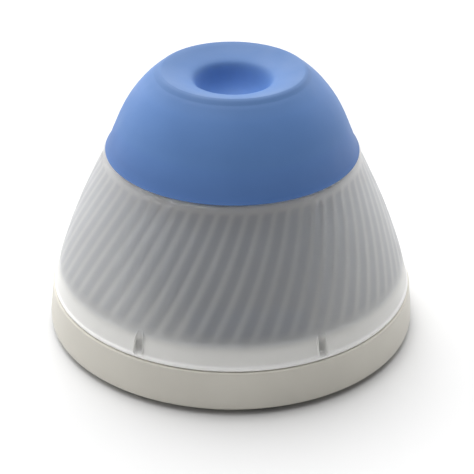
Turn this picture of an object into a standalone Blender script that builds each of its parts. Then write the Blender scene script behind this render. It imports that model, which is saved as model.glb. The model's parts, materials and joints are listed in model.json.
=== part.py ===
"""Compact touch-operated vortex mixer.

Frame: metres, +Z up, origin on the bench under the middle of the base,
front towards -Y.  A round weighted base carries a translucent conical
cover with helical inner ribs.  Inside it a spring-borne carriage holds the
motor; the motor turns an eccentric pin, and the soft domed head rides on a
ball bearing on that pin, so the head orbits without turning.  Pressing the
head lowers the carriage onto a small switch.

Lengths below are millimetres and are scaled to metres by MM.
"""
import math

import bmesh
import bpy
from mathutils import Vector

MM = 0.001
CLEAR = 0.3                      # gap kept between neighbours that touch

# --- overall -------------------------------------------------------------
FOOT_H = 2.5                     # base underside above the bench
BASE_R = 58.0                    # largest radius, at the bottom edge
BASE_TOP_Z = 13.65               # top of the base wall
BASE_FLOOR_T = 2.0
BASE_WALL_IN_R = 53.2
SHELL_BOTTOM_Z = BASE_TOP_Z + CLEAR
SHELL_WALL = 2.2
DECK_Z = 59.30                   # flat top of the cover, under the head
DECK_T = 1.9
DECK_HOLE_R = 8.5

# --- helical ribs on the inside of the cover ------------------------------
RIB_COUNT = 60
RIB_DEPTH = 0.9
RIB_TWIST_DEG_PER_MM = 0.51      # going down, ribs lean to the viewer's left
RIB_TOP_Z = 54.0
RIB_BOTTOM_Z = 20.6
LIP_H = 1.3                      # locating lip below the flange

# --- motion ---------------------------------------------------------------
ECC = 2.0                        # eccentricity, 4 mm orbit diameter
PRESS = 0.5                      # travel of the head when pushed down
HEAD_X, HEAD_Y = 0.0, -ECC       # the eccentric pin points to the front

# --- head -----------------------------------------------------------------
CAP_RIM_Z = 60.06
CAP_RIM_R = 38.55
CREST_Z = 85.4
CREST_R = 22.3
CAP_FLANK = 10.48                # straight taper of the flank, rim to crest
CAP_ROLL = 5.48                  # extra pull-in of the rounded shoulder
MOUTH_R = 11.2                   # mouth of the tube cup
MOUTH_Z = 82.0
CUP_BOTTOM_Z = 72.8

# --- carriage -------------------------------------------------------------
PLATE_Z0, PLATE_T, PLATE_R = 16.3, 2.0, 32.0
POST_RING_R, POST_R = 23.0, 2.3
POST_ANGLES = (90.0, 210.0, 330.0)
HOUSING_R, HOUSING_TOP_Z = 30.5, 50.6
MOTOR_R, MOTOR_TOP_Z = 17.5, 46.0

FOOT_RING_R, FOOT_R = 47.5, 6.5
FOOT_ANGLES = (-78.0, 12.0, 102.0, 192.0)
BALLAST_SCREW_R = 36.0
BALLAST_SCREW_ANGLES = (-33.0, 57.0, 147.0, 237.0)

JACK_Z = 8.6


# ==========================================================================
def clear_scene():
    for obj in list(bpy.data.objects):
        bpy.data.objects.remove(obj, do_unlink=True)


def srgb(r, g, b):
    def lin(v):
        v /= 255.0
        return v / 12.92 if v <= 0.04045 else ((v + 0.055) / 1.055) ** 2.4
    return (lin(r), lin(g), lin(b), 1.0)


def material(name, rgb, rough, metal=0.0, alpha=1.0):
    mat = bpy.data.materials.new(name)
    mat.use_nodes = True
    bsdf = mat.node_tree.nodes["Principled BSDF"]
    bsdf.inputs["Base Color"].default_value = srgb(*rgb)
    bsdf.inputs["Roughness"].default_value = rough
    bsdf.inputs["Metallic"].default_value = metal
    bsdf.inputs["Alpha"].default_value = alpha
    mat.diffuse_color = srgb(*rgb)
    return mat


def add_object(name, bm, mat, parent=None, at=(0.0, 0.0, 0.0), sharp=35.0,
               flip_check=True):
    """Finish a bmesh given in millimetres as an object whose origin is `at` (mm)."""
    if flip_check:
        bmesh.ops.recalc_face_normals(bm, faces=bm.faces[:])
    shift = Vector(at)
    for v in bm.verts:
        v.co = (v.co - shift) * MM
    mesh = bpy.data.meshes.new(name)
    bm.to_mesh(mesh)
    bm.free()
    mesh.shade_smooth()
    mesh.set_sharp_from_angle(angle=math.radians(sharp))
    mesh.materials.append(mat)
    obj = bpy.data.objects.new(name, mesh)
    bpy.context.scene.collection.objects.link(obj)
    world = shift * MM
    if parent is not None:
        obj.parent = parent
        obj.location = world - PARENT_AT[parent.name]
    else:
        obj.location = world
    return obj


PARENT_AT = {}


def add_empty(name, at, parent=None):
    obj = bpy.data.objects.new(name, None)
    obj.empty_display_size = 0.01
    bpy.context.scene.collection.objects.link(obj)
    world = Vector(at) * MM
    if parent is not None:
        obj.parent = parent
        obj.location = world - PARENT_AT[parent.name]
    else:
        obj.location = world
    PARENT_AT[name] = world
    return obj


def value(r, angle):
    return r(angle) if callable(r) else r


def turned(profile, segs, cx=0.0, cy=0.0, bm=None, along="Z", start=0.0):
    """Turn a profile of (radius, height) round an axis through (cx, cy).

    A radius may be a function of the angle in degrees.  A profile that
    starts and ends at radius 0 closes on the axis, any other closes on
    itself.  along="Y" lays the axis along +Y, with cx, cy read as x, z.
    """
    if bm is None:
        bm = bmesh.new()

    def place(r, h, ang):
        x, y = r * math.cos(ang), r * math.sin(ang)
        if along == "Z":
            return (cx + x, cy + y, h)
        return (cx + x, h, cy + y)

    rings = []
    for r, h in profile:
        if not callable(r) and r == 0.0:
            rings.append([bm.verts.new(place(0.0, h, 0.0))])
        else:
            ring = []
            for k in range(segs):
                deg = start + 360.0 * k / segs
                ring.append(bm.verts.new(place(value(r, deg), h, math.radians(deg))))
            rings.append(ring)
    on_axis = len(rings[0]) == 1 and len(rings[-1]) == 1
    pairs = list(zip(rings, rings[1:]))
    if not on_axis:
        pairs.append((rings[-1], rings[0]))
    for a, b in pairs:
        for k in range(segs):
            n = (k + 1) % segs
            if len(a) == 1 and len(b) == 1:
                continue
            if len(a) == 1:
                bm.faces.new((a[0], b[n], b[k]))
            elif len(b) == 1:
                bm.faces.new((a[k], a[n], b[0]))
            else:
                bm.faces.new((a[k], a[n], b[n], b[k]))
    return bm


def block(x0, x1, y0, y1, z0, z1, bevel=0.0, bm=None):
    own = bmesh.new()
    made = bmesh.ops.create_cube(own, size=1.0)
    for v in made["verts"]:
        v.co = Vector((x0 + (v.co.x + 0.5) * (x1 - x0),
                       y0 + (v.co.y + 0.5) * (y1 - y0),
                       z0 + (v.co.z + 0.5) * (z1 - z0)))
    if bevel:
        bmesh.ops.bevel(own, geom=own.edges[:], offset=bevel, segments=1,
                        affect="EDGES", profile=0.5)
    if bm is None:
        return own
    mesh = bpy.data.meshes.new("block")
    own.to_mesh(mesh)
    own.free()
    bm.from_mesh(mesh)
    bpy.data.meshes.remove(mesh)
    return bm


def coil(bm, cx, cy, z0, z1, mean_r, wire_r, turns, per_turn=12, sides=6):
    """A compression spring: closed end turns, open middle turns."""
    count = int(turns * per_turn)
    rings = []
    flat = 1.0                                   # end turns that lie nearly flat
    rise = z1 - z0 - 2.0 * wire_r - 2.0 * flat * 2.2 * wire_r
    for i in range(count + 1):
        t = i / per_turn
        if t < flat:
            z = 2.2 * wire_r * t / flat
        elif t > turns - flat:
            z = (2.2 * wire_r + rise
                 + 2.2 * wire_r * (t - (turns - flat)) / flat)
        else:
            z = 2.2 * wire_r + rise * (t - flat) / (turns - 2.0 * flat)
        ang = 2.0 * math.pi * t
        ca, sa = math.cos(ang), math.sin(ang)
        ring = []
        for s in range(sides):
            q = 2.0 * math.pi * s / sides
            rr = mean_r + wire_r * math.cos(q)
            ring.append(bm.verts.new((cx + rr * ca, cy + rr * sa,
                                      z0 + wire_r + z + wire_r * math.sin(q))))
        rings.append(ring)
    for a, b in zip(rings, rings[1:]):
        for s in range(sides):
            n = (s + 1) % sides
            bm.faces.new((a[s], a[n], b[n], b[s]))
    bm.faces.new(list(reversed(rings[0])))
    bm.faces.new(rings[-1])
    return bm


def cutter(name, bm):
    bmesh.ops.recalc_face_normals(bm, faces=bm.faces[:])
    for v in bm.verts:
        v.co = v.co * MM
    mesh = bpy.data.meshes.new(name)
    bm.to_mesh(mesh)
    bm.free()
    obj = bpy.data.objects.new(name, mesh)
    bpy.context.scene.collection.objects.link(obj)
    obj.hide_render = True
    obj.display_type = "WIRE"
    return obj


def boolean(obj, tool, operation):
    mod = obj.modifiers.new("cut", "BOOLEAN")
    mod.operation = operation
    mod.solver = "EXACT"
    mod.object = tool


def polar(radius, degrees):
    a = math.radians(degrees)
    return radius * math.cos(a), radius * math.sin(a)


# --- profiles that follow a rule ------------------------------------------
def shell_outer_r(z):
    """Outer radius of the cover: a cone whose slope steepens smoothly upward."""
    t = (z - SHELL_BOTTOM_Z) / 40.0
    return 56.15 - 8.8 * t - 7.9 * t * t + 1.5 * t * t * t


def shell_ribbed_inner(z):
    return shell_outer_r(z) - SHELL_WALL


def cap_outer_r(z):
    """Outer radius of the domed head between its rim and its crest."""
    t = (z - CAP_RIM_Z) / (CREST_Z - CAP_RIM_Z)
    return CAP_RIM_R - CAP_FLANK * t - CAP_ROLL * t ** 4


def cup_profile():
    """Tube cup in the middle of the head, from the mouth down to its floor."""
    pts = []
    steps = 5
    for i in range(steps + 1):
        a = 0.5 * math.pi * i / steps
        r = MOUTH_R * math.cos(a) ** 0.75
        z = MOUTH_Z - 0.9 - (MOUTH_Z - 0.9 - CUP_BOTTOM_Z) * math.sin(a) ** 1.15
        pts.append((r if i < steps else 0.0, z))
    return pts


# ==========================================================================
clear_scene()

M_BASE = material("base_grey", (190, 186, 177), 0.45)
M_SHELL = material("frosted_clear", (214, 214, 212), 0.35, 0.0, 0.45)
M_CAP = material("blue_rubber", (92, 123, 178), 0.62)
M_BLACK = material("black_rubber", (26, 26, 27), 0.8)
M_STEEL = material("zinc_steel", (168, 170, 172), 0.32, 1.0)
M_DARK = material("dark_housing", (62, 66, 72), 0.5)
M_MOTOR = material("motor_steel", (140, 143, 146), 0.35, 1.0)
M_BRASS = material("brass", (186, 150, 84), 0.35, 1.0)
M_BOARD = material("board_blue", (38, 62, 96), 0.45)
M_BLKPL = material("black_plastic", (32, 32, 34), 0.5)
M_RED = material("switch_red", (150, 40, 36), 0.45)
M_CARRIER = material("carrier_grey", (120, 122, 126), 0.5)

# --- base housing ----------------------------------------------------------
zb = FOOT_H
floor_top = zb + BASE_FLOOR_T
base_profile = [
    (0.0, zb), (56.9, zb), (57.7, zb + 0.35), (BASE_R, zb + 1.0),
    (57.0, zb + 8.5), (56.72, BASE_TOP_Z - 0.6),
    (56.0, BASE_TOP_Z), (BASE_WALL_IN_R, BASE_TOP_Z),
    (BASE_WALL_IN_R, floor_top),
    (0.0, floor_top),
]
base = add_object("base_housing", turned(base_profile, 56), M_BASE)
holes = bmesh.new()
for ang in BALLAST_SCREW_ANGLES:
    x, y = polar(BALLAST_SCREW_R, ang)
    turned([(0, 1.0), (1.7, 1.0), (1.7, 6.5), (0, 6.5)], 12, x, y, holes)
for ang in POST_ANGLES:
    x, y = polar(POST_RING_R, ang)
    turned([(0, 1.0), (1.5, 1.0), (1.5, 6.5), (0, 6.5)], 12, x, y, holes)
turned([(0, 50.0), (3.9, 50.0), (3.9, 61.0), (0, 61.0)], 16, 0.0, JACK_Z, holes,
       along="Y")
boolean(base, cutter("cut_base_holes", holes), "DIFFERENCE")

# --- translucent cover ------------------------------------------------------
COLS = RIB_COUNT


def shell_mesh():
    bm = bmesh.new()

    def ring(r, z, n, offset_deg=0.0, rib=0.0):
        out = []
        for k in range(n):
            a = math.radians(360.0 * k / n + offset_deg)
            rr = r - (rib if k % 2 else 0.0)
            out.append(bm.verts.new((rr * math.cos(a), rr * math.sin(a), z)))
        return out

    def quads(a, b):
        n = len(a)
        for k in range(n):
            m = (k + 1) % n
            bm.faces.new((a[k], a[m], b[m], b[k]))

    def widen(coarse, fine, shift=0):
        """Band from a ring of n points to a ring of 2n points, as triangles."""
        n = len(coarse)
        for k in range(n):
            m = (k + 1) % n
            f0 = fine[(2 * k - shift) % (2 * n)]
            f1 = fine[(2 * k + 1 - shift) % (2 * n)]
            f2 = fine[(2 * k + 2 - shift) % (2 * n)]
            bm.faces.new((coarse[k], f1, f0))
            bm.faces.new((coarse[k], coarse[m], f1))
            bm.faces.new((coarse[m], f2, f1))

    outer = [ring(55.6, SHELL_BOTTOM_Z, COLS), ring(56.1, SHELL_BOTTOM_Z + 0.35, COLS)]
    for z in (18.5, 25.5, 33.0, 40.5, 48.0, 54.0):
        outer.append(ring(shell_outer_r(z), z, COLS))
    for r, z in ((39.9, 56.4), (39.45, 58.0), (38.7, 59.0), (37.6, DECK_Z),
                 (DECK_HOLE_R, DECK_Z), (DECK_HOLE_R, DECK_Z - DECK_T),
                 (36.2, DECK_Z - DECK_T), (37.6, DECK_Z - DECK_T - 1.8)):
        outer.append(ring(r, z, COLS))
    for a, b in zip(outer, outer[1:]):
        quads(a, b)
    ribs = []
    rows = 3
    for i in range(rows + 1):
        z = RIB_TOP_Z + (RIB_BOTTOM_Z - RIB_TOP_Z) * i / rows
        twist = -RIB_TWIST_DEG_PER_MM * (RIB_TOP_Z - z)
        ribs.append(ring(shell_ribbed_inner(z), z, 2 * COLS, twist, RIB_DEPTH))
    for a, b in zip(ribs, ribs[1:]):
        quads(a, b)
    widen(outer[-1], ribs[0])
    # below the ribs a plain band, then the locating lip inside the base wall
    z = RIB_BOTTOM_Z - 0.9
    low = [ring(shell_ribbed_inner(z), z, COLS),
           ring(51.3, SHELL_BOTTOM_Z + 1.2, COLS),
           ring(51.3, SHELL_BOTTOM_Z - LIP_H, COLS),
           ring(52.8, SHELL_BOTTOM_Z - LIP_H, COLS),
           ring(52.8, SHELL_BOTTOM_Z, COLS)]
    last = -RIB_TWIST_DEG_PER_MM * (RIB_TOP_Z - RIB_BOTTOM_Z)
    widen(low[0], ribs[-1], int(round(last / (180.0 / COLS))))
    for a, b in zip(low, low[1:]):
        quads(a, b)
    quads(low[-1], outer[0])
    return bm


shell = add_object("shell_cover", shell_mesh(), M_SHELL, sharp=22.0)

# --- weight, feet and screws -----------------------------------------------
ballast_profile = [(29.0, 4.8), (43.0, 4.8), (43.0, 11.2), (42.4, 11.8), (29.0, 11.8)]
ballast = add_object("ballast_ring", turned(ballast_profile, 40), M_STEEL)
bh = bmesh.new()
for ang in BALLAST_SCREW_ANGLES:
    x, y = polar(BALLAST_SCREW_R, ang)
    turned([(0, 4.0), (1.7, 4.0), (1.7, 10.4), (0, 10.4)], 12, x, y, bh)
boolean(ballast, cutter("cut_ballast_holes", bh), "DIFFERENCE")

FOOT_NAMES = ("foot_front", "foot_right", "foot_rear", "foot_left")
for name, ang in zip(FOOT_NAMES, FOOT_ANGLES):
    x, y = polar(FOOT_RING_R, ang)
    add_object(name, turned([(0, 0.0), (5.6, 0.0), (6.2, 0.35), (FOOT_R, 1.1),
                             (FOOT_R, FOOT_H - CLEAR), (0, FOOT_H - CLEAR)], 20, x, y),
               M_BLACK, at=(x, y, 0.0))


def screw(head_r, head_h, shank_r, top):
    low = FOOT_H - CLEAR - head_h
    return [(0, low), (head_r * 0.72, low), (head_r, low + head_h * 0.45),
            (head_r, low + head_h), (shank_r, low + head_h), (shank_r, top - 0.5),
            (shank_r - 0.4, top), (0, top)]


for i, ang in enumerate(BALLAST_SCREW_ANGLES):
    x, y = polar(BALLAST_SCREW_R, ang)
    add_object("ballast_screw_%d" % (i + 1), turned(screw(2.9, 1.4, 1.4, 9.8), 12, x, y),
               M_STEEL, at=(x, y, 0.0))
for i, ang in enumerate(POST_ANGLES):
    x, y = polar(POST_RING_R, ang)
    add_object("post_screw_%d" % (i + 1), turned(screw(2.5, 1.3, 1.1, 9.2), 12, x, y),
               M_STEEL, at=(x, y, 0.0))
    post = [(1.4, 4.8), (POST_R, 4.8), (POST_R, PLATE_Z0 + PLATE_T + CLEAR),
            (3.5, PLATE_Z0 + PLATE_T + CLEAR), (3.5, 19.9), (2.9, 20.4),
            (0.0, 20.4)]
    # blind threaded bore from below
    profile = [(0.0, 9.8), (1.4, 9.8), (1.4, 4.8)] + post[1:]
    add_object("guide_post_%d" % (i + 1), turned(profile, 12, x, y), M_STEEL,
               at=(x, y, 0.0))
    spring = coil(bmesh.new(), x, y, 5.1, PLATE_Z0 - CLEAR, 3.35, 0.42, 5.0, 10, 5)
    add_object("return_spring_%d" % (i + 1), spring, M_STEEL, at=(x, y, 0.0))

# --- electrics --------------------------------------------------------------
add_object("circuit_board", block(-12.0, 22.0, -43.6, -42.0, 12.1, 26.4), M_BOARD)
add_object("board_capacitor",
           turned([(0, -41.7), (3.0, -41.7), (3.2, -41.2), (3.2, -35.4), (2.9, -35.0),
                   (0, -35.0)], 14, 14.0, 19.5, along="Y"), M_BLKPL)
add_object("board_chip", block(-7.0, 1.0, -41.7, -40.0, 15.5, 21.5, 0.25), M_BLKPL)
jack_profile = [(0.0, 44.0), (3.1, 44.0), (3.6, 44.5), (3.6, 56.2), (3.3, 56.5),
                (2.75, 56.5), (2.75, 47.5), (1.0, 47.5), (1.0, 55.2), (0.6, 55.6),
                (0.0, 55.6)]
add_object("dc_jack", turned(jack_profile, 16, 0.0, JACK_Z, along="Y"), M_BLKPL)

SW_X, SW_Y = polar(20.5, 30.0)
switch_bm = block(SW_X - 3.0, SW_X + 3.0, SW_Y - 6.2, SW_Y + 6.2, 4.8, 13.5, 0.4)
switch = add_object("microswitch_body", switch_bm, M_BLKPL)
hole = turned([(0, 10.6), (1.5, 10.6), (1.5, 15.0), (0, 15.0)], 12, SW_X, SW_Y)
boolean(switch, cutter("cut_switch_bore", hole), "DIFFERENCE")

# --- what moves: empties on the joints' axes --------------------------------
press_axis = add_empty("press_axis", (0, 0, PLATE_Z0))
plunger_axis = add_empty("plunger_axis", (SW_X, SW_Y, 13.5))
spin_axis = add_empty("motor_axis", (0, 0, 50.0), press_axis)
pin_axis = add_empty("eccentric_axis", (HEAD_X, HEAD_Y, 60.0), spin_axis)

add_object("switch_plunger",
           turned([(0, 11.6), (1.2, 11.6), (1.2, 15.6), (0.8, 16.0), (0, 16.0)], 12,
                  SW_X, SW_Y), M_RED, plunger_axis, (SW_X, SW_Y, 13.5))

# carriage plate with a wire hole and three post holes
plate_profile = [(5.0, PLATE_Z0), (PLATE_R, PLATE_Z0),
                 (PLATE_R, PLATE_Z0 + PLATE_T), (5.0, PLATE_Z0 + PLATE_T)]
plate = add_object("carriage_plate", turned(plate_profile, 36), M_STEEL, press_axis,
                   (0, 0, PLATE_Z0))
ph = bmesh.new()
for ang in POST_ANGLES:
    x, y = polar(POST_RING_R, ang)
    turned([(0, 15.0), (POST_R + 0.3, 15.0), (POST_R + 0.3, 20.0), (0, 20.0)], 12, x, y,
           ph)
boolean(plate, cutter("cut_plate_holes", ph), "DIFFERENCE")

z_on_plate = PLATE_Z0 + PLATE_T + CLEAR
housing_profile = [(28.4, z_on_plate), (HOUSING_R, z_on_plate), (HOUSING_R, 42.0),
                   (29.4, 48.2), (26.8, HOUSING_TOP_Z),
                   (6.5, HOUSING_TOP_Z), (6.5, 48.7), (26.2, 48.7), (28.4, 42.0)]
add_object("motor_housing", turned(housing_profile, 40), M_DARK, press_axis,
           (0, 0, PLATE_Z0))

can_profile = [(15.6, z_on_plate), (MOTOR_R, z_on_plate), (MOTOR_R, MOTOR_TOP_Z - 1.2),
               (MOTOR_R - 1.2, MOTOR_TOP_Z), (5.0, MOTOR_TOP_Z), (5.0, 48.0),
               (1.8, 48.0), (1.8, MOTOR_TOP_Z - 2.0), (15.6, MOTOR_TOP_Z - 2.0)]
add_object("motor_can", turned(can_profile, 28), M_MOTOR, press_axis, (0, 0, PLATE_Z0))
add_object("motor_end_cap", turned([(0, 18.8), (15.3, 18.8), (15.3, 20.9),
                                    (0, 20.9)], 28), M_BLKPL, press_axis,
           (0, 0, PLATE_Z0))

# rotor: armature, shaft, counterweight, eccentric pin
add_object("motor_armature", turned([(1.65, 24.0), (13.0, 24.0), (13.0, 41.0),
                                     (1.65, 41.0)], 20),
           M_BRASS, spin_axis, (0, 0, 50.0))
add_object("motor_shaft", turned([(0, 21.2), (1.5, 21.2), (1.5, 56.2), (1.2, 56.5),
                                  (0, 56.5)], 12), M_STEEL, spin_axis, (0, 0, 50.0))


def weight_r(deg):
    """Outline of the counterweight: a sector opposite the pin, round a small hub."""
    off = abs((deg - 90.0 + 180.0) % 360.0 - 180.0)
    if off <= 75.0:
        return 17.0
    if off <= 85.0:
        return 17.0 - (17.0 - 6.0) * (off - 75.0) / 10.0
    return 6.0


add_object("counterweight", turned([(1.7, 51.3), (weight_r, 51.3), (weight_r, 53.3),
                                    (1.7, 53.3)], 36), M_BRASS, spin_axis, (0, 0, 50.0))

ecc_profile = [(0.0, 53.6), (7.6, 53.6), (8.0, 54.0), (8.0, 55.6), (7.6, 56.0),
               (3.6, 57.0), (3.6, 60.9), (2.45, 60.9), (2.45, 67.4), (2.1, 67.8),
               (0.0, 67.8)]
ecc = add_object("eccentric_pin", turned(ecc_profile, 16, HEAD_X, HEAD_Y), M_STEEL,
                 spin_axis, (0, 0, 50.0))
bore = turned([(0, 52.0), (1.7, 52.0), (1.7, 56.8), (0, 56.8)], 12)
boolean(ecc, cutter("cut_eccentric_bore", bore), "DIFFERENCE")

# bearing on the eccentric pin
HX, HY = HEAD_X, HEAD_Y
add_object("bearing_inner_race", turned([(2.6, 61.2), (4.1, 61.2), (4.1, 66.2),
                                         (2.6, 66.2)], 20, HX, HY), M_STEEL, spin_axis,
           (0, 0, 50.0))
add_object("retaining_clip", turned([(2.6, 66.5), (4.0, 66.5), (4.0, 67.1), (2.6, 67.1)],
                                    20, HX, HY), M_STEEL, spin_axis, (0, 0, 50.0))
add_object("bearing_ball_cage", turned([(4.4, 62.4), (5.9, 62.4), (5.9, 65.0),
                                        (4.4, 65.0)], 20, HX, HY), M_BRASS, pin_axis,
           (HX, HY, 60.0))
add_object("bearing_outer_race", turned([(6.2, 61.2), (7.9, 61.2), (7.9, 66.2),
                                         (6.2, 66.2)], 20, HX, HY), M_STEEL, pin_axis,
           (HX, HY, 60.0))

carrier_profile = [(8.2, 61.0), (34.2, 61.0), (34.8, 61.5), (34.8, 63.7),
                   (14.0, 63.7), (11.4, 65.2), (11.2, 70.1), (0.0, 70.1),
                   (0.0, 68.4), (5.6, 68.4), (5.6, 66.5), (8.2, 66.5)]


def carrier_mesh():
    """Disc with a central boss; the bearing seat opens downward."""
    bm = bmesh.new()
    outer = carrier_profile[:8]
    inner = carrier_profile[8:]
    return turned_two_poles(bm, outer, inner)


def turned_two_poles(bm, outer, inner, segs=32):
    rings = []
    for r, z in outer + inner:
        if r == 0.0:
            rings.append([bm.verts.new((HX, HY, z))])
        else:
            rings.append([bm.verts.new((HX + r * math.cos(2 * math.pi * k / segs),
                                        HY + r * math.sin(2 * math.pi * k / segs), z))
                          for k in range(segs)])
    order = rings + [rings[0]]
    for a, b in zip(order, order[1:]):
        for k in range(segs):
            n = (k + 1) % segs
            if len(a) == 1 and len(b) == 1:
                break
            if len(a) == 1:
                bm.faces.new((a[0], b[n], b[k]))
            elif len(b) == 1:
                bm.faces.new((a[k], a[n], b[0]))
            else:
                bm.faces.new((a[k], a[n], b[n], b[k]))
    return bm


add_object("head_carrier", carrier_mesh(), M_CARRIER, pin_axis, (HX, HY, 60.0))


def cap_mesh():
    """Soft domed head: flared rim, convex flank, rounded crest, dish and tube cup."""
    outer = [(35.5, CAP_RIM_Z), (38.7, CAP_RIM_Z), (39.1, CAP_RIM_Z + 0.3),
             (38.75, CAP_RIM_Z + 1.0)]
    for t in (0.1, 0.28, 0.45, 0.6, 0.73, 0.84, 0.93):
        z = CAP_RIM_Z + (CREST_Z - CAP_RIM_Z) * t
        outer.append((cap_outer_r(z), z))
    outer += [(23.3, CREST_Z - 0.4), (CREST_R, CREST_Z), (20.4, CREST_Z - 0.15),
              (16.5, CREST_Z - 1.55), (13.2, MOUTH_Z + 0.55)]
    outer += cup_profile()
    inner = [(0.0, 70.5), (11.4, 70.5), (12.4, 73.5), (15.0, 78.6), (19.5, 79.8),
             (24.0, 77.0), (30.4, 67.0), (31.2, 64.1), (35.3, 64.1)]
    return turned_two_poles(bmesh.new(), outer, inner, 44)


add_object("rubber_cap", cap_mesh(), M_CAP, pin_axis, (HX, HY, 60.0), sharp=40.0)
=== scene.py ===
import json
import math

import bmesh
import bpy
from mathutils import Matrix, Vector

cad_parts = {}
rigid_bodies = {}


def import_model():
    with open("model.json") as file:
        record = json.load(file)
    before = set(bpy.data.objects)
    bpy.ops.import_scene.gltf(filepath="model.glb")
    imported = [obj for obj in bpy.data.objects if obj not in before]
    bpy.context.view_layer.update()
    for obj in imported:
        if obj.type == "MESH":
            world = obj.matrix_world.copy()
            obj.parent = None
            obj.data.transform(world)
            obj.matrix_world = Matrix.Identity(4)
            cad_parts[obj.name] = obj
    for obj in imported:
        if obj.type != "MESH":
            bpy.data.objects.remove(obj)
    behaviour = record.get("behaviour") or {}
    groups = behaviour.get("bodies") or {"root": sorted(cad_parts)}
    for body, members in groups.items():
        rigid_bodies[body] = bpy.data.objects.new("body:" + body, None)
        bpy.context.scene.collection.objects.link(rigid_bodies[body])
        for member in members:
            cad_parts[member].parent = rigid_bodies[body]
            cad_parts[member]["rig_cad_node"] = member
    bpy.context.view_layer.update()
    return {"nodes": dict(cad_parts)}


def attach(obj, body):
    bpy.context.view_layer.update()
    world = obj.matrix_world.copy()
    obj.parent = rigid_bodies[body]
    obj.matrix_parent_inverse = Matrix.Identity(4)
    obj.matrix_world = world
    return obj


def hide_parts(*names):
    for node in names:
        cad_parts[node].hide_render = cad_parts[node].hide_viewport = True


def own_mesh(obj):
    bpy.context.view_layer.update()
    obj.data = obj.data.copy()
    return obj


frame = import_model()
NODES = frame["nodes"]
MM = 0.001

# ------------------------------------------------------------------ camera --
THETA = math.radians(29.48)
DIST = 0.4753
LOOK_Z = 0.02703
ROLL = 0.00809

cam_data = bpy.data.cameras.new("camera")
cam_data.sensor_width = 36.0
cam_data.lens = 114.03
cam_data.shift_x = 0.0114
cam_data.clip_start = 0.01
cam_data.clip_end = 20.0
cam = bpy.data.objects.new("camera", cam_data)
bpy.context.scene.collection.objects.link(cam)
fwd = Vector((0.0, math.cos(THETA), -math.sin(THETA)))
up0 = Vector((0.0, math.sin(THETA), math.cos(THETA)))
right0 = Vector((1.0, 0.0, 0.0))
right = right0 * math.cos(ROLL) + up0 * math.sin(ROLL)
up = up0 * math.cos(ROLL) - right0 * math.sin(ROLL)
rot = Matrix((right, up, -fwd)).transposed().to_4x4()
cam.matrix_world = Matrix.Translation(Vector((0, 0, LOOK_Z)) - fwd * DIST) @ rot
bpy.context.scene.camera = cam
bpy.context.scene.view_settings.view_transform = "Standard"


# --------------------------------------------------------------- materials --
def lin(v):
    v /= 255.0
    return v / 12.92 if v <= 0.04045 else ((v + 0.055) / 1.055) ** 2.4


def rgb(r, g, b):
    return (lin(r), lin(g), lin(b), 1.0)


class Mat:
    """A Principled material built up from procedural nodes in object space."""

    def __init__(self, name):
        self.mat = bpy.data.materials.new(name)
        self.mat.use_nodes = True
        self.nt = self.mat.node_tree
        self.p = self.nt.nodes["Principled BSDF"]
        self.out = self.nt.nodes["Material Output"]
        self.tc = self.nt.nodes.new("ShaderNodeTexCoord")

    def node(self, kind, **values):
        n = self.nt.nodes.new(kind)
        for k, v in values.items():
            setattr(n, k, v)
        return n

    def link(self, a, b):
        self.nt.links.new(a, b)

    def noise(self, scale, detail=2.0, rough=0.5, distortion=0.0, stretch=None):
        n = self.node("ShaderNodeTexNoise")
        n.inputs["Scale"].default_value = scale
        n.inputs["Detail"].default_value = detail
        n.inputs["Roughness"].default_value = rough
        n.inputs["Distortion"].default_value = distortion
        if stretch:
            m = self.node("ShaderNodeMapping")
            m.inputs["Scale"].default_value = stretch
            self.link(self.tc.outputs["Object"], m.inputs["Vector"])
            self.link(m.outputs["Vector"], n.inputs["Vector"])
        else:
            self.link(self.tc.outputs["Object"], n.inputs["Vector"])
        return n.outputs["Fac"]

    def ramp(self, fac, stops):
        n = self.node("ShaderNodeValToRGB")
        cr = n.color_ramp
        while len(cr.elements) > 1:
            cr.elements.remove(cr.elements[-1])
        cr.elements[0].position = stops[0][0]
        cr.elements[0].color = stops[0][1]
        for pos, colour in stops[1:]:
            e = cr.elements.new(pos)
            e.color = colour
        self.link(fac, n.inputs["Fac"])
        return n.outputs["Color"]

    def mapped(self, fac, lo, hi, a=0.3, b=0.7):
        n = self.node("ShaderNodeMapRange")
        n.inputs["From Min"].default_value = a
        n.inputs["From Max"].default_value = b
        n.inputs["To Min"].default_value = lo
        n.inputs["To Max"].default_value = hi
        self.link(fac, n.inputs["Value"])
        return n.outputs["Result"]

    def bump(self, height, strength, distance, under=None):
        n = self.node("ShaderNodeBump")
        n.inputs["Strength"].default_value = strength
        n.inputs["Distance"].default_value = distance
        self.link(height, n.inputs["Height"])
        if under is not None:
            self.link(under, n.inputs["Normal"])
        return n.outputs["Normal"]

    def set(self, **values):
        for k, v in values.items():
            self.p.inputs[k.replace("_", " ")].default_value = v
        return self


def two_tone(name, dark, light, scale, rough, grain=None, grain_depth=0.00002,
             metallic=0.0, specular=0.5, coat=0.0, sheen=0.0, stretch=None,
             detail=3.0):
    """Colour drifting between two near tones, roughness variation and a fine grain."""
    m = Mat(name)
    drift = m.noise(scale, detail, 0.55, stretch=stretch)
    m.link(m.ramp(drift, [(0.32, dark), (0.68, light)]), m.p.inputs["Base Color"])
    m.link(m.mapped(m.noise(scale * 3.1, 3.0), rough[0], rough[1]),
           m.p.inputs["Roughness"])
    if grain:
        m.link(m.bump(m.noise(grain, 2.0, 0.6), 0.35, grain_depth), m.p.inputs["Normal"])
    m.p.inputs["Metallic"].default_value = metallic
    m.p.inputs["Specular IOR Level"].default_value = specular
    m.p.inputs["Coat Weight"].default_value = coat
    m.p.inputs["Sheen Weight"].default_value = sheen
    return m.mat


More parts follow.
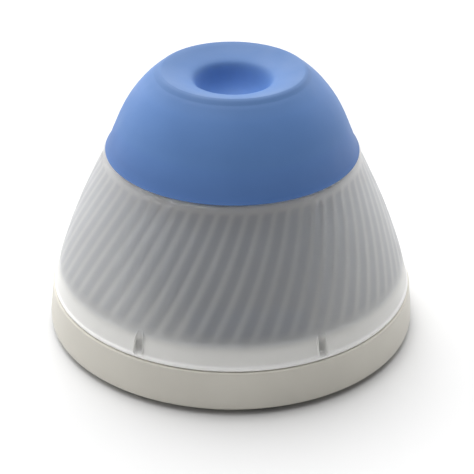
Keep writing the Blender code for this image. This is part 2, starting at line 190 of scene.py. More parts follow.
def frosted(name, clear_rough, low, high, stripe=0.0):
    """Moulded translucent plastic: milky, finely frosted, denser along its lower edge."""
    m = Mat(name)
    drift = m.ramp(m.noise(45.0, 3.0), [(0.3, (0.965, 0.965, 0.965, 1)),
                                        (0.7, (1.0, 1.0, 1.0, 1))])
    m.link(m.mapped(m.noise(170.0, 4.0, 0.6), clear_rough[0], clear_rough[1]),
           m.p.inputs["Roughness"])
    m.link(m.bump(m.noise(2600.0, 2.0, 0.5), 0.12, 0.000004), m.p.inputs["Normal"])
    sep = m.node("ShaderNodeSeparateXYZ")
    m.link(m.tc.outputs["Object"], sep.inputs["Vector"])
    n = m.node("ShaderNodeMapRange")
    n.inputs["From Min"].default_value = 0.0
    n.inputs["From Max"].default_value = 0.06
    n.inputs["To Min"].default_value = 0.0
    n.inputs["To Max"].default_value = 1.0
    m.link(sep.outputs["Z"], n.inputs["Value"])
    g = lambda t: (t, t, t, 1)
    trans = m.ramp(n.outputs["Result"], [(0.2583, g(0.05)), (0.262, g(low)),
                                         (0.315, g(low + 0.04)), (0.335, g(high - 0.34)),
                                         (0.375, g(high)), (1.0, g(high))])
    if stripe:
        # the wall is thicker, so milkier, along each helical rib; between the ribs the colour is
        # darkened as painted shade
        def calc(op, a, b=None):
            c = m.node("ShaderNodeMath", operation=op)
            for i, v in enumerate((a, b)):
                if v is None:
                    continue
                if isinstance(v, (int, float)):
                    c.inputs[i].default_value = v
                else:
                    m.link(v, c.inputs[i])
            return c.outputs["Value"]
        turn = calc("MULTIPLY", calc("ARCTAN2", sep.outputs["Y"], sep.outputs["X"]), 60.0)
        rise = calc("MULTIPLY", sep.outputs["Z"], -534.07)
        wave = calc("COSINE", calc("ADD", calc("ADD", turn, rise), 30.015))
        crest = calc("POWER", m.mapped(wave, 0.0, 1.0, -1.0, 1.0), 2.0)
        ends = m.ramp(n.outputs["Result"], [(0.35, g(0.0)), (0.41, g(1.0)),
                                            (0.935, g(1.0)), (0.955, g(0.0))])
        groove = calc("MULTIPLY", calc("SUBTRACT", 1.0, crest), ends)
        # painted shade: darker, slightly bluish colour in the grooves between the ribs
        rib_painted_shade = m.ramp(groove, [(0.0, (1.0, 1.0, 0.995, 1)), (0.4, (0.91, 0.91, 0.91, 1)),
                               (0.8, (0.81, 0.815, 0.83, 1)),
                               (1.0, (0.76, 0.77, 0.79, 1))])
        trans = calc("SUBTRACT", trans,
                     calc("MULTIPLY", calc("MULTIPLY", crest, ends), stripe))
    m.link(trans, m.p.inputs["Transmission Weight"])
    tone = m.ramp(n.outputs["Result"], [(0.26, (1.0, 0.995, 0.985, 1)),
                                        (0.265, (0.975, 0.97, 0.945, 1)),
                                        (0.335, (0.98, 0.975, 0.95, 1)),
                                        (0.36, (0.98, 0.99, 1.0, 1)),
                                        (0.85, (0.98, 0.99, 1.0, 1)),
                                        (1.0, (1.0, 0.99, 0.98, 1))])
    mix = m.node("ShaderNodeMix", data_type="RGBA", blend_type="MULTIPLY")
    mix.inputs[0].default_value = 1.0
    m.link(drift, mix.inputs[6])
    m.link(tone, mix.inputs[7])
    if stripe:
        ribbed = m.node("ShaderNodeMix", data_type="RGBA", blend_type="MULTIPLY")
        ribbed.inputs[0].default_value = 1.0
        m.link(mix.outputs[2], ribbed.inputs[6])
        m.link(rib_painted_shade, ribbed.inputs[7])
        m.link(ribbed.outputs[2], m.p.inputs["Base Color"])
    else:
        m.link(mix.outputs[2], m.p.inputs["Base Color"])
    m.p.inputs["IOR"].default_value = 1.47
    m.p.inputs["Specular IOR Level"].default_value = 0.5
    return m.mat


MAT_CAP = two_tone("blue_soft_rubber", (0.102, 0.215, 0.485, 1), (0.114, 0.235, 0.520, 1),
                   38.0, (0.50, 0.62), 900.0, 0.00004, specular=0.3, sheen=0.02)

# painted shade and light: the head's colour is darkened towards its rim and its crest and lightened
# on the mid flank, standing in for how light falls on it
cap_nt = MAT_CAP.node_tree
cap_p = cap_nt.nodes["Principled BSDF"]
cap_link = cap_p.inputs["Base Color"].links[0]
cap_from = cap_link.from_socket
cap_tc = cap_nt.nodes.new("ShaderNodeTexCoord")
cap_sep = cap_nt.nodes.new("ShaderNodeSeparateXYZ")
cap_nt.links.new(cap_tc.outputs["Object"], cap_sep.inputs["Vector"])
cap_shade_height = cap_nt.nodes.new("ShaderNodeMapRange")
cap_shade_height.inputs["From Min"].default_value = 0.060
cap_shade_height.inputs["From Max"].default_value = 0.086
cap_nt.links.new(cap_sep.outputs["Z"], cap_shade_height.inputs["Value"])
cap_painted_shade_ramp = cap_nt.nodes.new("ShaderNodeValToRGB")
cr = cap_painted_shade_ramp.color_ramp
cr.interpolation = "B_SPLINE"
cr.elements[0].position, cr.elements[0].color = 0.0, (0.74, 0.78, 0.86, 1)
cr.elements[1].position, cr.elements[1].color = 1.0, (0.80, 0.79, 0.76, 1)
for pos, tone in ((0.2, (0.86, 0.87, 0.92, 1)), (0.45, (1.06, 1.07, 1.09, 1)),
                  (0.72, (1.08, 1.08, 1.09, 1)), (0.9, (0.92, 0.91, 0.89, 1))):
    cr.elements.new(pos).color = tone
cap_nt.links.new(cap_shade_height.outputs["Result"], cap_painted_shade_ramp.inputs["Fac"])
cap_painted_shade_mix = cap_nt.nodes.new("ShaderNodeMix")
cap_painted_shade_mix.data_type = "RGBA"
cap_painted_shade_mix.blend_type = "MULTIPLY"
cap_painted_shade_mix.inputs[0].default_value = 1.0
cap_nt.links.new(cap_from, cap_painted_shade_mix.inputs[6])
cap_nt.links.new(cap_painted_shade_ramp.outputs["Color"], cap_painted_shade_mix.inputs[7])


def cap_math(op, a, b=None):
    """One Math node of the head's material."""
    c = cap_nt.nodes.new("ShaderNodeMath")
    c.operation = op
    for i, v in enumerate((a, b)):
        if isinstance(v, (int, float)):
            c.inputs[i].default_value = v
        elif v is not None:
            cap_nt.links.new(v, c.inputs[i])
    return c.outputs["Value"]


# painted light: the cup is lightened towards its centre, standing in for light reaching down into it
cup_y = cap_math("ADD", cap_sep.outputs["Y"], 0.002)
cup_r = cap_math("SQRT", cap_math("ADD", cap_math("MULTIPLY", cap_sep.outputs["X"],
                                                  cap_sep.outputs["X"]),
                                  cap_math("MULTIPLY", cup_y, cup_y)))
cup_painted_light = cap_nt.nodes.new("ShaderNodeMapRange")
cup_painted_light.inputs["From Min"].default_value = 0.0085
cup_painted_light.inputs["From Max"].default_value = 0.0135
cup_painted_light.inputs["To Min"].default_value = 1.18
cup_painted_light.inputs["To Max"].default_value = 1.0
cap_nt.links.new(cup_r, cup_painted_light.inputs["Value"])
cup_painted_light_scale = cap_nt.nodes.new("ShaderNodeVectorMath")
cup_painted_light_scale.operation = "SCALE"
cap_nt.links.new(cap_painted_shade_mix.outputs[2], cup_painted_light_scale.inputs[0])
cap_nt.links.new(cup_painted_light.outputs["Result"], cup_painted_light_scale.inputs["Scale"])
cap_nt.links.new(cup_painted_light_scale.outputs["Vector"], cap_p.inputs["Base Color"])

MAT_SHELL = frosted("frosted_cover", (0.30, 0.34), 0.20, 0.72, 0.03)
MAT_INNER = frosted("frosted_cover_inside", (0.54, 0.64), 0.40, 0.86)
MAT_FLUTE = frosted("frosted_cover_flutes", (0.34, 0.42), 0.62, 0.70)
MAT_RIBS = frosted("frosted_cover_ribs", (0.54, 0.64), 0.40, 0.85)
MAT_BASE = two_tone("grey_moulded_plastic", (0.650, 0.625, 0.560, 1),
                    (0.700, 0.675, 0.605, 1), 30.0, (0.40, 0.52), 1500.0, 0.00003,
                    specular=0.4)
MAT_FOOT = two_tone("black_rubber_feet", (0.010, 0.010, 0.011, 1),
                    (0.022, 0.022, 0.023, 1), 160.0, (0.66, 0.85), 1500.0, 0.00005,
                    specular=0.3)
MAT_ZINC = two_tone("zinc_plated_steel", (0.42, 0.43, 0.45, 1), (0.60, 0.60, 0.60, 1),
                    220.0, (0.24, 0.42), 1200.0, 0.00002, metallic=1.0)
MAT_BALLAST = two_tone("painted_weight", (0.72, 0.70, 0.66, 1), (0.82, 0.80, 0.76, 1),
                       150.0, (0.45, 0.62), 700.0, 0.00006)
MAT_HOUSING = two_tone("motor_housing_dark", (0.078, 0.104, 0.152, 1),
                       (0.100, 0.130, 0.185, 1), 60.0, (0.42, 0.6), 1000.0, 0.00004,
                       specular=0.4)
MAT_PLATE = two_tone("housing_top_plate", (0.50, 0.49, 0.47, 1), (0.68, 0.67, 0.64, 1),
                     130.0, (0.3, 0.5), 1000.0, 0.00003, metallic=0.3)
MAT_MOTOR = two_tone("motor_can_steel", (0.34, 0.35, 0.36, 1), (0.46, 0.46, 0.47, 1),
                     120.0, (0.26, 0.4), 1400.0, 0.00002, metallic=1.0,
                     stretch=(1, 1, 14))
MAT_BRASS = two_tone("brass_parts", (0.50, 0.33, 0.12, 1), (0.62, 0.42, 0.17, 1), 150.0,
                     (0.25, 0.42), 1200.0, 0.00002, metallic=1.0)
MAT_WEIGHT = two_tone("blackened_steel", (0.030, 0.032, 0.040, 1),
                      (0.050, 0.052, 0.060, 1), 170.0, (0.32, 0.48), 1200.0, 0.00003,
                      metallic=0.5)
MAT_WINDING = two_tone("armature_lacquer", (0.30, 0.10, 0.035, 1), (0.42, 0.16, 0.06, 1),
                       240.0, (0.3, 0.45), 900.0, 0.00006, metallic=0.4, coat=0.2)
MAT_BOARD = two_tone("circuit_board_mask", (0.030, 0.075, 0.165, 1),
                     (0.045, 0.105, 0.210, 1), 300.0, (0.25, 0.4), 900.0, 0.00003,
                     coat=0.2)
MAT_BLACK = two_tone("black_moulding", (0.012, 0.012, 0.013, 1), (0.024, 0.024, 0.025, 1),
                     140.0, (0.36, 0.52), 1300.0, 0.00003)
MAT_RED = two_tone("plunger_red", (0.26, 0.018, 0.014, 1), (0.34, 0.028, 0.022, 1), 200.0,
                   (0.32, 0.46), 1300.0, 0.00002)
MAT_CARRIER = two_tone("carrier_nylon", (0.17, 0.175, 0.185, 1), (0.215, 0.22, 0.23, 1),
                       90.0, (0.42, 0.58), 1100.0, 0.00003)
MAT_BEARING = two_tone("bearing_steel", (0.52, 0.53, 0.55, 1), (0.66, 0.66, 0.67, 1),
                       260.0, (0.14, 0.26), 1500.0, 0.00001, metallic=1.0)


# ------------------------------------------------------------------ shapes --
def new_piece(name, verts, faces, mat, body, nodes, sharp=32.0, smooth=True):
    mesh = bpy.data.meshes.new(name)
    mesh.from_pydata([(x * MM, y * MM, z * MM) for x, y, z in verts], [], faces)
    bm = bmesh.new()
    bm.from_mesh(mesh)
    bmesh.ops.recalc_face_normals(bm, faces=bm.faces[:])
    bm.to_mesh(mesh)
    bm.free()
    if smooth:
        mesh.shade_smooth()
        mesh.set_sharp_from_angle(angle=math.radians(sharp))
    mesh.materials.append(mat)
    obj = bpy.data.objects.new(name, mesh)
    bpy.context.scene.collection.objects.link(obj)
    obj["body"] = body
    if nodes:
        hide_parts(*nodes)
    return obj


def turned(profile, segs, cx=0.0, cy=0.0, along="Z", verts=None, faces=None):
    """Revolve (r, h) points; points with r = 0 are poles.  Closed unless both ends are poles."""
    verts = [] if verts is None else verts
    faces = [] if faces is None else faces
    rings = []
    for r, h in profile:
        n = 1 if r == 0.0 else segs
        ring = []
        for k in range(n):
            a = 2.0 * math.pi * k / segs
            x, y = r * math.cos(a), r * math.sin(a)
            ring.append(len(verts))
            verts.append((cx + x, cy + y, h) if along == "Z" else (cx + x, h, cy + y))
        rings.append(ring)
    pairs = list(zip(rings, rings[1:]))
    if not (len(rings[0]) == 1 and len(rings[-1]) == 1):
        pairs.append((rings[-1], rings[0]))
    for a, b in pairs:
        for k in range(segs):
            m = (k + 1) % segs
            if len(a) == 1 and len(b) == 1:
                break
            if len(a) == 1:
                faces.append((a[0], b[m], b[k]))
            elif len(b) == 1:
                faces.append((a[k], a[m], b[0]))
            else:
                faces.append((a[k], a[m], b[m], b[k]))
    return verts, faces


def smooth_curve(points, per=6):
    """Centripetal-ish Catmull-Rom curve through (r, z) points."""
    out = []
    n = len(points)
    for i in range(n - 1):
        p0 = points[max(i - 1, 0)]
        p1, p2 = points[i], points[i + 1]
        p3 = points[min(i + 2, n - 1)]
        for s in range(per):
            t = s / per
            out.append(tuple(
                0.5 * ((2 * p1[j]) + (-p0[j] + p2[j]) * t
                       + (2 * p0[j] - 5 * p1[j] + 4 * p2[j] - p3[j]) * t * t
                       + (-p0[j] + 3 * p1[j] - 3 * p2[j] + p3[j]) * t ** 3)
                for j in (0, 1)))
    out.append(tuple(points[-1]))
    return out


def arc(cr, cz, rad, a0, a1, steps):
    return [(cr + rad * math.cos(math.radians(a0 + (a1 - a0) * i / steps)),
             cz + rad * math.sin(math.radians(a0 + (a1 - a0) * i / steps)))
            for i in range(steps + 1)]


HX, HY = 0.0, -2.0

# --------------------------------------------------------------- soft head --
RIM_Z, CREST_Z = 60.06, 85.4


FLANK = [(38.52, 60.48), (38.14, 61.0), (37.40, 62.5), (36.60, 64.5), (35.56, 67.0),
         (34.28, 70.0), (32.50, 73.5), (30.20, 77.0), (27.36, 80.5), (24.75, 83.0),
         (23.45, 84.0)]
cap_outer = [(35.6, 60.14), (38.0, 60.06)]
cap_outer += arc(38.44, 60.27, 0.21, -84, 30, 5)
cap_outer += smooth_curve(FLANK, 5)
tail = smooth_curve([(23.45, 84.0), (22.85, 84.55), (22.3, 84.98), (21.75, 85.25),
                     (21.3, 85.34), (19.9, 85.08), (18.0, 84.52), (15.8, 83.84),
                     (13.9, 83.2), (12.7, 82.66), (11.95, 82.05), (11.35, 81.2),
                     (10.75, 80.0), (10.1, 78.6), (9.2, 77.0), (7.9, 75.4),
                     (6.1, 74.1), (4.0, 73.25), (2.0, 72.88), (0.6, 72.8)], 4)
cap_outer += tail[1:]
cap_outer += [(0.0, 72.8)]
cap_inner = [(0.0, 70.5), (11.4, 70.5), (12.4, 73.5), (13.4, 76.2), (15.2, 78.4),
             (17.4, 79.5), (20.5, 79.6), (23.4, 78.0), (26.4, 73.8), (28.8, 69.8),
             (30.5, 66.4), (31.2, 64.1), (35.3, 64.1), (35.5, 60.4)]


def two_sided(outer, inner, segs, cx, cy):
    """Turn a wall whose outer and inner profile both meet the axis."""
    verts, faces, rings = [], [], []
    for r, z in outer + inner:
        n = 1 if r == 0.0 else segs
        ring = []
        for k in range(n):
            a = 2.0 * math.pi * k / segs
            ring.append(len(verts))
            verts.append((cx + r * math.cos(a), cy + r * math.sin(a), z))
        rings.append(ring)
    order = rings + [rings[0]]
    for a, b in zip(order, order[1:]):
        for k in range(segs):
            m = (k + 1) % segs
            if len(a) == 1 and len(b) == 1:
                break
            if len(a) == 1:
                faces.append((a[0], b[m], b[k]))
            elif len(b) == 1:
                faces.append((a[k], a[m], b[0]))
            else:
                faces.append((a[k], a[m], b[m], b[k]))
    return verts, faces


v, f = two_sided(cap_outer, cap_inner, 192, HX, HY)
cap = new_piece("soft_head", v, f, MAT_CAP, "head", ["rubber_cap"], 50.0)


# -------------------------------------------------------- translucent cover --
SEAM = 13.95
FLUTES = [math.radians(-90 - 29.0), math.radians(-90 + 29.0), math.radians(90 - 29.0),
          math.radians(90 + 29.0)]
FLUTE_RC, FLUTE_A, FLUTE_END = 55.3, 1.35, 15.9


def cone_r(z):
    t = (z - SEAM) / 40.0
    return 56.15 - 8.8 * t - 7.9 * t * t + 1.5 * t * t * t


def smooth_min(a, b, k):
    h = max(k - abs(a - b), 0.0) / k
    return min(a, b) - h * h * k * 0.25


def outer_r(r, ang, z):
    """Outer radius with the four rounded flutes cut in."""
    for fa in FLUTES:
        d = math.atan2(math.sin(ang - fa), math.cos(ang - fa))
        if abs(d) > 0.06:
            continue
        a2 = FLUTE_A ** 2 - max(FLUTE_END - z, 0.0) ** 2
        side = FLUTE_RC * math.sin(d)
        # a fine raised edge stands on both sides of the flute
        half2 = FLUTE_A ** 2 - (r - FLUTE_RC) ** 2
        if half2 > 0.0 and 15.4 < z < 24.6:
            edge = abs(side) - math.sqrt(half2) - 0.16
            r += 0.55 * math.exp(-(edge / 0.21) ** 2)
        if a2 <= 0.0 or side * side >= a2:
            continue
        near = FLUTE_RC * math.cos(d) - math.sqrt(a2 - side * side)
        r = smooth_min(r, near, 0.05)
    return r


def zip_rings(faces, a, b):
    """Triangles between two closed rings of (angle, index) lists of any lengths."""
    na, nb = len(a), len(b)
    i = j = 0
    base = b[0][0]
    best = min(range(nb), key=lambda q: abs(math.atan2(math.sin(b[q][0] - a[0][0]),
                                                       math.cos(b[q][0] - a[0][0]))))
    b = b[best:] + b[:best]

    def unwrap(ring, start):
        out, last = [], start
        for ang, _ in ring:
            while ang < last - 1e-9:
                ang += 2 * math.pi
            while ang >= last + 2 * math.pi:
                ang -= 2 * math.pi
            out.append(ang)
            last = ang
        return out
    aa = unwrap(a, a[0][0])
    d0 = math.atan2(math.sin(b[0][0] - a[0][0]), math.cos(b[0][0] - a[0][0]))
    bb, last = [], a[0][0] + d0
    bb.append(last)
    for ang, _ in b[1:]:
        step = (ang - last) % (2 * math.pi)
        last += step
        bb.append(last)
    aa.append(aa[0] + 2 * math.pi)
    bb.append(bb[0] + 2 * math.pi)
    ai = [q for _, q in a] + [a[0][1]]
    bi = [q for _, q in b] + [b[0][1]]
    while i < na or j < nb:
        if j >= nb or (i < na and aa[i + 1] <= bb[j + 1]):
            faces.append((ai[i], ai[i + 1], bi[j]))
            i += 1
        else:
            faces.append((ai[i], bi[j + 1], bi[j]))
            j += 1


def shell_piece():
    verts, faces = [], []

    # columns of the outer surface: even steps, finer across each flute
    cols = set()
    for k in range(360):
        cols.add(round(math.radians(k - 180.0), 9))
    for fa in FLUTES:
        half = math.asin(FLUTE_A / FLUTE_RC) * 1.45
        for k in range(-20, 21):
            a = fa + half * k / 20.0
            a = math.atan2(math.sin(a), math.cos(a))
            cols.add(round(a, 9))
    cols = sorted(cols)
    kept = [cols[0]]
    for a in cols[1:]:
        if a - kept[-1] > 0.0009:
            kept.append(a)
    cols = kept

    def ring_out(r, z, fluted=False):
        out = []
        for a in cols:
            rr = outer_r(r, a, z) if fluted else r
            out.append((a, len(verts)))
            verts.append((rr * math.cos(a), rr * math.sin(a), z))
        return out

    def quads(a, b):
        n = len(a)
        for k in range(n):
            m = (k + 1) % n
            faces.append((a[k][1], a[m][1], b[m][1], b[k][1]))

    milky = []

    outer = []
    for r, z in [(55.45, 13.95), (55.85, 13.97), (56.12, 14.1), (56.24, 14.32),
                 (56.27, 14.6), (56.24, 14.84), (56.14, 15.04), (55.98, 15.17),
                 (55.86, 15.3), (55.80, 15.5)]:
        outer.append(ring_out(r, z, z > 14.9))
    z = 15.75
    while z < 25.4:
        outer.append(ring_out(cone_r(z), z, True))
        z += 0.28
    while z < 53.4:
        outer.append(ring_out(cone_r(z), z))
        z += 1.9
    top = smooth_curve([(cone_r(53.6), 53.6), (cone_r(55.2), 55.2), (39.85, 56.6),
                        (39.55, 57.7), (39.15, 58.55), (38.5, 59.1), (37.6, 59.28),
                        (36.3, 59.3)], 3)
    for r, z in top:
        outer.append(ring_out(r, z))
    for r, z in [(24.0, 59.3), (9.0, 59.3), (8.5, 58.9), (8.5, 57.6), (8.8, 57.4),
                 (24.0, 57.4), (35.0, 57.4)]:
        outer.append(ring_out(r, z))
    flute_faces = []
    for a, b in zip(outer, outer[1:]):
        first = len(faces)
        quads(a, b)
        for q in range(first, len(faces)):
            px, py, pz = (sum(verts[i][c] for i in faces[q]) / 4 for c in (0, 1, 2))
            if 14.9 < pz < 26.0 and math.hypot(px, py) < cone_r(pz) - 0.2:
                flute_faces.append(q)

    # inner surface: helical ribs with pockets between them
    PITCH = 2 * math.pi / 60
    phases = [k / 14.0 for k in range(14)]

    def rib(p):
        c = 0.5 + 0.5 * math.cos(2 * math.pi * p)
        return c ** 1.3

    def ring_in(base_r, z, depth, twist, slant=0.0):
        out = []
        for k in range(60):
            for p in phases:
                a = (k + p) * PITCH + twist
                rr = base_r - depth * rib(p)
                out.append((a, len(verts)))
                lift = slant * (p if p < 0.9 else (1.0 - p) * 9.0)
                verts.append((rr * math.cos(a), rr * math.sin(a), z + lift))
        return out

    Z_TOP, Z_LOW, RIB = 56.2, 21.6, 0.42
    TW = math.radians(-0.51)
    inner = []
    inner.append(ring_in(36.6, 57.1, 0.0, TW * 0))
    rows = 34
    for i in range(rows + 1):
        z = Z_TOP + (Z_LOW - Z_TOP) * i / rows
        pocket = cone_r(z) - 2.2
        if z > 53.0:
            pocket = min(pocket, cone_r(53.0) - 2.2 - (z - 53.0) * 0.95)
        fade = min(1.0, (Z_TOP - z) / 1.2)
        slant = 0.6 * max(0.0, 1.0 - (z - Z_LOW) / 7.0)
        inner.append(ring_in(pocket, z, RIB * fade, TW * (Z_TOP - z), slant))
    # the pockets end in a short curved ramp onto the plain lower band
    for dz, full in ((0.4, 0.08), (0.8, 0.28), (1.2, 0.54), (1.6, 0.8), (2.1, 1.0)):
        z = Z_LOW - dz
        pocket = cone_r(z) - 2.2 - RIB * full
        inner.append(ring_in(pocket, z, RIB * (1 - full), TW * (Z_TOP - z), 0.6))
    tw = TW * (Z_TOP - Z_LOW + 2.1)

    def plain(r, z):
        return ring_in(r, z, 0.0, tw)
    for r, z in [(cone_r(17.5) - 3.0, 17.5), (52.3, 15.6), (51.3, 14.9), (51.3, 12.75),
                 (51.4, 12.65), (52.7, 12.65), (52.8, 12.75), (52.8, 13.95),
                 (53.4, 13.95)]:
        inner.append(plain(r, z))
    for i, (a, b) in enumerate(zip(inner, inner[1:])):
        first = len(faces)
        quads(a, b)
        for q in range(len(faces) - first):
            phase = phases[q % len(phases)]
            rib_face = 0 < i <= rows + 5 and (phase < 0.18 or phase > 0.80)
            milky.append((first + q, 2 if rib_face else 1))
    zip_rings(faces, outer[-1], inner[0])
    zip_rings(faces, inner[-1], outer[0])
    obj = new_piece("translucent_cover", verts, faces, MAT_SHELL, "base",
                    ["shell_cover"], 40.0)
    obj.data.materials.append(MAT_INNER)
    obj.data.materials.append(MAT_RIBS)
    obj.data.materials.append(MAT_FLUTE)
    for q, index in milky:
        obj.data.polygons[q].material_index = index
    for q in flute_faces:
        obj.data.polygons[q].material_index = 3
    return obj


shell = shell_piece()


# ------------------------------------------------------------------- base --
base_profile = [(0.0, 2.5), (54.2, 2.5), (54.4, 2.6), (54.6, 2.72), (55.0, 2.72),
                (55.2, 2.6), (55.4, 2.5), (56.5, 2.5), (56.7, 2.0), (57.0, 1.82)]
base_profile += arc(57.42, 2.22, 0.42, -88, -4, 6)
base_profile += [(57.82, 3.9), (57.75, 4.8), (57.55, 6.6), (57.32, 8.6), (57.08, 10.6), (56.86, 12.5)]
base_profile += arc(56.4, 13.36, 0.42, -2, 84, 5)
base_profile += [(55.6, 13.8), (53.5, 13.8), (53.2, 13.5), (53.2, 5.3), (52.6, 4.6),
                 (52.0, 4.5), (0.0, 4.5)]
v, f = turned(base_profile, 256)
base = new_piece("base_shell", v, f, MAT_BASE, "base", ["base_housing"],
                 36.0)


def cut(obj, verts, faces):
    mesh = bpy.data.meshes.new("tool")
    mesh.from_pydata([(x * MM, y * MM, z * MM) for x, y, z in verts], [], faces)
    bm = bmesh.new()
    bm.from_mesh(mesh)
    bmesh.ops.recalc_face_normals(bm, faces=bm.faces[:])
    bm.to_mesh(mesh)
    bm.free()
    tool = bpy.data.objects.new("tool", mesh)
    bpy.context.scene.collection.objects.link(tool)
    mod = obj.modifiers.new("cut", "BOOLEAN")
    mod.operation = "DIFFERENCE"
    mod.solver = "EXACT"
    mod.object = tool
    bpy.context.view_layer.update()
    deps = bpy.context.evaluated_depsgraph_get()
    out = bpy.data.meshes.new_from_object(obj.evaluated_get(deps))
    obj.modifiers.clear()
    old = obj.data
    obj.data = out
    bpy.data.meshes.remove(old)
    bpy.data.objects.remove(tool, do_unlink=True)
    obj.data.shade_smooth()
    obj.data.set_sharp_from_angle(angle=math.radians(30))


def polar(r, deg):
    a = math.radians(deg)
    return r * math.cos(a), r * math.sin(a)


BALLAST_ANGLES = (-33.0, 57.0, 147.0, 237.0)
POST_ANGLES = (90.0, 210.0, 330.0)
FOOT_ANGLES = (-78.0, 12.0, 102.0, 192.0)
tv, tf = [], []
for ang in BALLAST_ANGLES:
    x, y = polar(36.0, ang)
    turned([(0, 1.0), (1.7, 1.0), (1.7, 6.5), (0, 6.5)], 32, x, y, "Z", tv, tf)
for ang in POST_ANGLES:
    x, y = polar(23.0, ang)
    turned([(0, 1.0), (1.5, 1.0), (1.5, 6.5), (0, 6.5)], 32, x, y, "Z", tv, tf)
turned([(0, 50.0), (3.9, 50.0), (3.9, 61.0), (0, 61.0)], 40, 0.0, 8.6, "Y", tv, tf)
cut(base, tv, tf)


# -------------------------------------------------------- feet and screws --
FOOT_NAMES = ("foot_front", "foot_right", "foot_rear", "foot_left")
for name, ang in zip(FOOT_NAMES, FOOT_ANGLES):
    x, y = polar(48.6, ang)
    prof = [(0.0, 0.55), (3.4, 0.5), (4.3, 0.35), (4.9, 0.08), (5.5, 0.0), (6.3, 0.02),
            (6.9, 0.08), (7.15, 0.25), (7.25, 0.6), (7.2, 1.4), (7.0, 1.8), (7.05, 2.1),
            (7.0, 2.2), (0.0, 2.2)]
    v, f = turned(prof, 64, x, y)
    new_piece("rubber_" + name, v, f, MAT_FOOT, "base", [name], 45.0)


def screw_piece(name, node, x, y, head_r, head_h, shank_r, top):
    low = 2.2 - head_h
    prof = [(0.0, low)] + [
        (head_r * math.sin(math.radians(a)) if a < 90 else head_r,
         low + head_h * 0.62 * (1 - math.cos(math.radians(a)))) for a in
        (25, 40, 55, 70, 82, 90)] + [(head_r, 2.12), (head_r - 0.08, 2.2),
                                     (shank_r, 2.2)]
    # rolled thread as shallow rings
    z = 3.0
    while z < top - 0.7:
        prof += [(shank_r, z), (shank_r - 0.14, z + 0.14), (shank_r, z + 0.28)]
        z += 0.46
    prof += [(shank_r - 0.35, top), (0.0, top)]
    v, f = turned(prof, 32, x, y)
    obj = new_piece(name, v, f, MAT_ZINC, "base", [node], 40.0)
    tv, tf = [], []
    for ang in (20.0, 110.0):
        ux, uy = math.cos(math.radians(ang)), math.sin(math.radians(ang))
        L, W = head_r * 0.62, head_r * 0.13
        i0 = len(tv)
        for dz in (low - 1.0, low + head_h * 0.55):
            for s, t in ((-L, -W), (L, -W), (L, W), (-L, W)):
                k = 0.72 if dz > low else 1.0
                tv.append((x + (ux * s - uy * t) * k, y + (uy * s + ux * t) * k, dz))
        tf += [(i0, i0 + 1, i0 + 2, i0 + 3), (i0 + 4, i0 + 5, i0 + 6, i0 + 7)]
        for k in range(4):
            m = (k + 1) % 4
            tf.append((i0 + k, i0 + m, i0 + 4 + m, i0 + 4 + k))
        cut(obj, tv, tf)
        tv, tf = [], []
    return obj


for i, ang in enumerate(BALLAST_ANGLES):
    x, y = polar(36.0, ang)
    screw_piece("weight_screw_%d" % (i + 1), "ballast_screw_%d" % (i + 1), x, y, 2.9, 1.4,
                1.4, 9.8)
for i, ang in enumerate(POST_ANGLES):
    x, y = polar(23.0, ang)
    screw_piece("guide_screw_%d" % (i + 1), "post_screw_%d" % (i + 1), x, y, 2.5, 1.3,
                1.1, 9.2)

# ------------------------------------------------------------ power inlet --
jack = [(0.0, 44.0), (2.9, 44.0), (3.4, 44.3), (3.6, 44.8), (3.6, 55.9), (3.52, 56.3),
        (3.3, 56.5), (2.95, 56.5), (2.75, 56.3), (2.75, 48.0), (2.5, 47.5), (1.1, 47.5),
        (1.0, 47.8), (1.0, 54.9), (0.85, 55.3), (0.5, 55.58), (0.0, 55.6)]
v, f = turned(jack, 48, 0.0, 8.6, "Y")
new_piece("power_inlet", v, f, MAT_BLACK, "base", ["dc_jack"], 35.0)


# ---------------------------------------------------------------- springs --
def coil_piece(name, node, cx, cy, z0, z1, mean_r, wire_r, turns, per=28, sides=10):
    verts, faces, rings = [], [], []
    count = int(turns * per)
    rise = z1 - z0 - 2 * wire_r - 4.4 * wire_r
    for i in range(count + 1):
        t = i / per
        if t < 1:
            z = 2.2 * wire_r * t
        elif t > turns - 1:
            z = 2.2 * wire_r + rise + 2.2 * wire_r * (t - turns + 1)
        else:
            z = 2.2 * wire_r + rise * (t - 1) / (turns - 2)
        a = 2 * math.pi * t
        ring = []
        for s in range(sides):
            q = 2 * math.pi * s / sides
            rr = mean_r + wire_r * math.cos(q)
            ring.append(len(verts))
            verts.append((cx + rr * math.cos(a), cy + rr * math.sin(a),
                          z0 + wire_r + z + wire_r * math.sin(q)))
        rings.append(ring)
    for a, b in zip(rings, rings[1:]):
        for s in range(sides):
            m = (s + 1) % sides
            faces.append((a[s], a[m], b[m], b[s]))
    faces.append(tuple(reversed(rings[0])))
    faces.append(tuple(rings[-1]))
    obj = new_piece(name, verts, faces, MAT_ZINC, "base", [node], 50.0)
    obj["squash_at"] = (cx * MM, cy * MM, z0 * MM)
    return obj


springs = []
for i, ang in enumerate(POST_ANGLES):
    x, y = polar(23.0, ang)
    springs.append(coil_piece("carriage_spring_%d" % (i + 1), "return_spring_%d" % (i + 1),
                              x, y, 5.1, 16.0, 3.35, 0.42, 5.0))

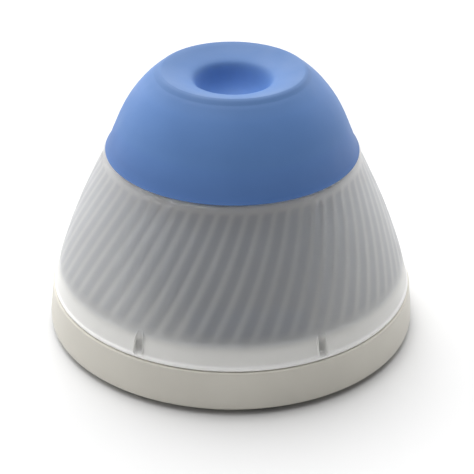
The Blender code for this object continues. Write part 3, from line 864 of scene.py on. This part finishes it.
# ------------------------------------------------- CAD nodes that are kept --
KEEP = {
    "ballast_ring": MAT_BALLAST, "circuit_board": MAT_BOARD, "board_capacitor": MAT_BLACK,
    "board_chip": MAT_BLACK, "microswitch_body": MAT_BLACK, "switch_plunger": MAT_RED,
    "carriage_plate": MAT_ZINC, "motor_housing": MAT_HOUSING, "motor_can": MAT_MOTOR,
    "motor_end_cap": MAT_BLACK, "motor_armature": MAT_WINDING, "motor_shaft": MAT_BEARING,
    "counterweight": MAT_WEIGHT, "eccentric_pin": MAT_WEIGHT,
    "bearing_inner_race": MAT_BEARING, "bearing_outer_race": MAT_BEARING,
    "bearing_ball_cage": MAT_BRASS, "retaining_clip": MAT_ZINC,
    "head_carrier": MAT_CARRIER, "guide_post_1": MAT_ZINC, "guide_post_2": MAT_ZINC,
    "guide_post_3": MAT_ZINC,
}
for name, mat in KEEP.items():
    node = NODES[name]
    node.data.materials.clear()
    node.data.materials.append(mat)

housing = NODES["motor_housing"]
housing.data.materials.append(MAT_PLATE)
top_z = max((housing.matrix_world @ v.co).z for v in housing.data.vertices)
for poly in housing.data.polygons:
    if (housing.matrix_world @ poly.center).z > top_z - 0.0008:
        poly.material_index = 1

# -------------------------------------------------------------- ride bodies --
for obj in list(bpy.context.scene.objects):
    if obj.type == "MESH" and "body" in obj and "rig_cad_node" not in obj:
        if "squash_at" in obj:
            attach(obj, obj["body"])
            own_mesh(obj)
        else:
            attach(obj, obj["body"])

AMBIENT = 0.03
LOBES = [((-0.2, 0.42, 1.0), 7.0, 4.2), ((-0.9, 0.1, 0.45), 3.0, 0.5),
         ((0.85, 0.8, 0.1), 5.0, 0.5), ((0.0, 1.0, 0.05), 1.0, 1.6),
         ((-0.25, -0.75, 1.0), 4.0, 0.3)]

# -------------------------------------------------------------------- stage --
floor_mesh = bpy.data.meshes.new("floor")
floor_mesh.from_pydata([(-4, -4, 0), (4, -4, 0), (4, 4, 0), (-4, 4, 0)], [],
                       [(0, 1, 2, 3)])
floor = bpy.data.objects.new("floor", floor_mesh)
bpy.context.scene.collection.objects.link(floor)
fm = bpy.data.materials.new("floor")
fm.use_nodes = True
fp = fm.node_tree.nodes["Principled BSDF"]
fp.inputs["Base Color"].default_value = (0.79, 0.79, 0.79, 1)
fp.inputs["Roughness"].default_value = 0.85
fp.inputs["Specular IOR Level"].default_value = 0.1
floor_mesh.materials.append(fm)

# A soft studio all round: light falls mostly from above and the left, a little from the
# right and behind, so that nothing small and bright flickers through the frosted cover.
world = bpy.data.worlds.new("studio")
bpy.context.scene.world = world
world.use_nodes = True
wt = world.node_tree
bg = wt.nodes["Background"]
coord = wt.nodes.new("ShaderNodeTexCoord")


def lobe(direction, power, strength):
    """strength * max(0, dot(view direction, direction)) ** power"""
    d = Vector(direction).normalized()
    dot = wt.nodes.new("ShaderNodeVectorMath")
    dot.operation = "DOT_PRODUCT"
    dot.inputs[1].default_value = d
    wt.links.new(coord.outputs["Generated"], dot.inputs[0])
    top = wt.nodes.new("ShaderNodeMath")
    top.operation = "MAXIMUM"
    top.inputs[1].default_value = 0.0
    wt.links.new(dot.outputs["Value"], top.inputs[0])
    pw = wt.nodes.new("ShaderNodeMath")
    pw.operation = "POWER"
    pw.inputs[1].default_value = power
    wt.links.new(top.outputs["Value"], pw.inputs[0])
    mul = wt.nodes.new("ShaderNodeMath")
    mul.operation = "MULTIPLY"
    mul.inputs[1].default_value = strength
    wt.links.new(pw.outputs["Value"], mul.inputs[0])
    return mul.outputs["Value"]


total = None
for direction, power, strength in LOBES:
    part = lobe(direction, power, strength)
    if total is None:
        total = part
    else:
        add = wt.nodes.new("ShaderNodeMath")
        add.operation = "ADD"
        wt.links.new(total, add.inputs[0])
        wt.links.new(part, add.inputs[1])
        total = add.outputs["Value"]
base_level = wt.nodes.new("ShaderNodeMath")
base_level.operation = "ADD"
base_level.inputs[1].default_value = AMBIENT
wt.links.new(total, base_level.inputs[0])
bg.inputs["Color"].default_value = (1.0, 1.0, 1.0, 1)
wt.links.new(base_level.outputs["Value"], bg.inputs["Strength"])
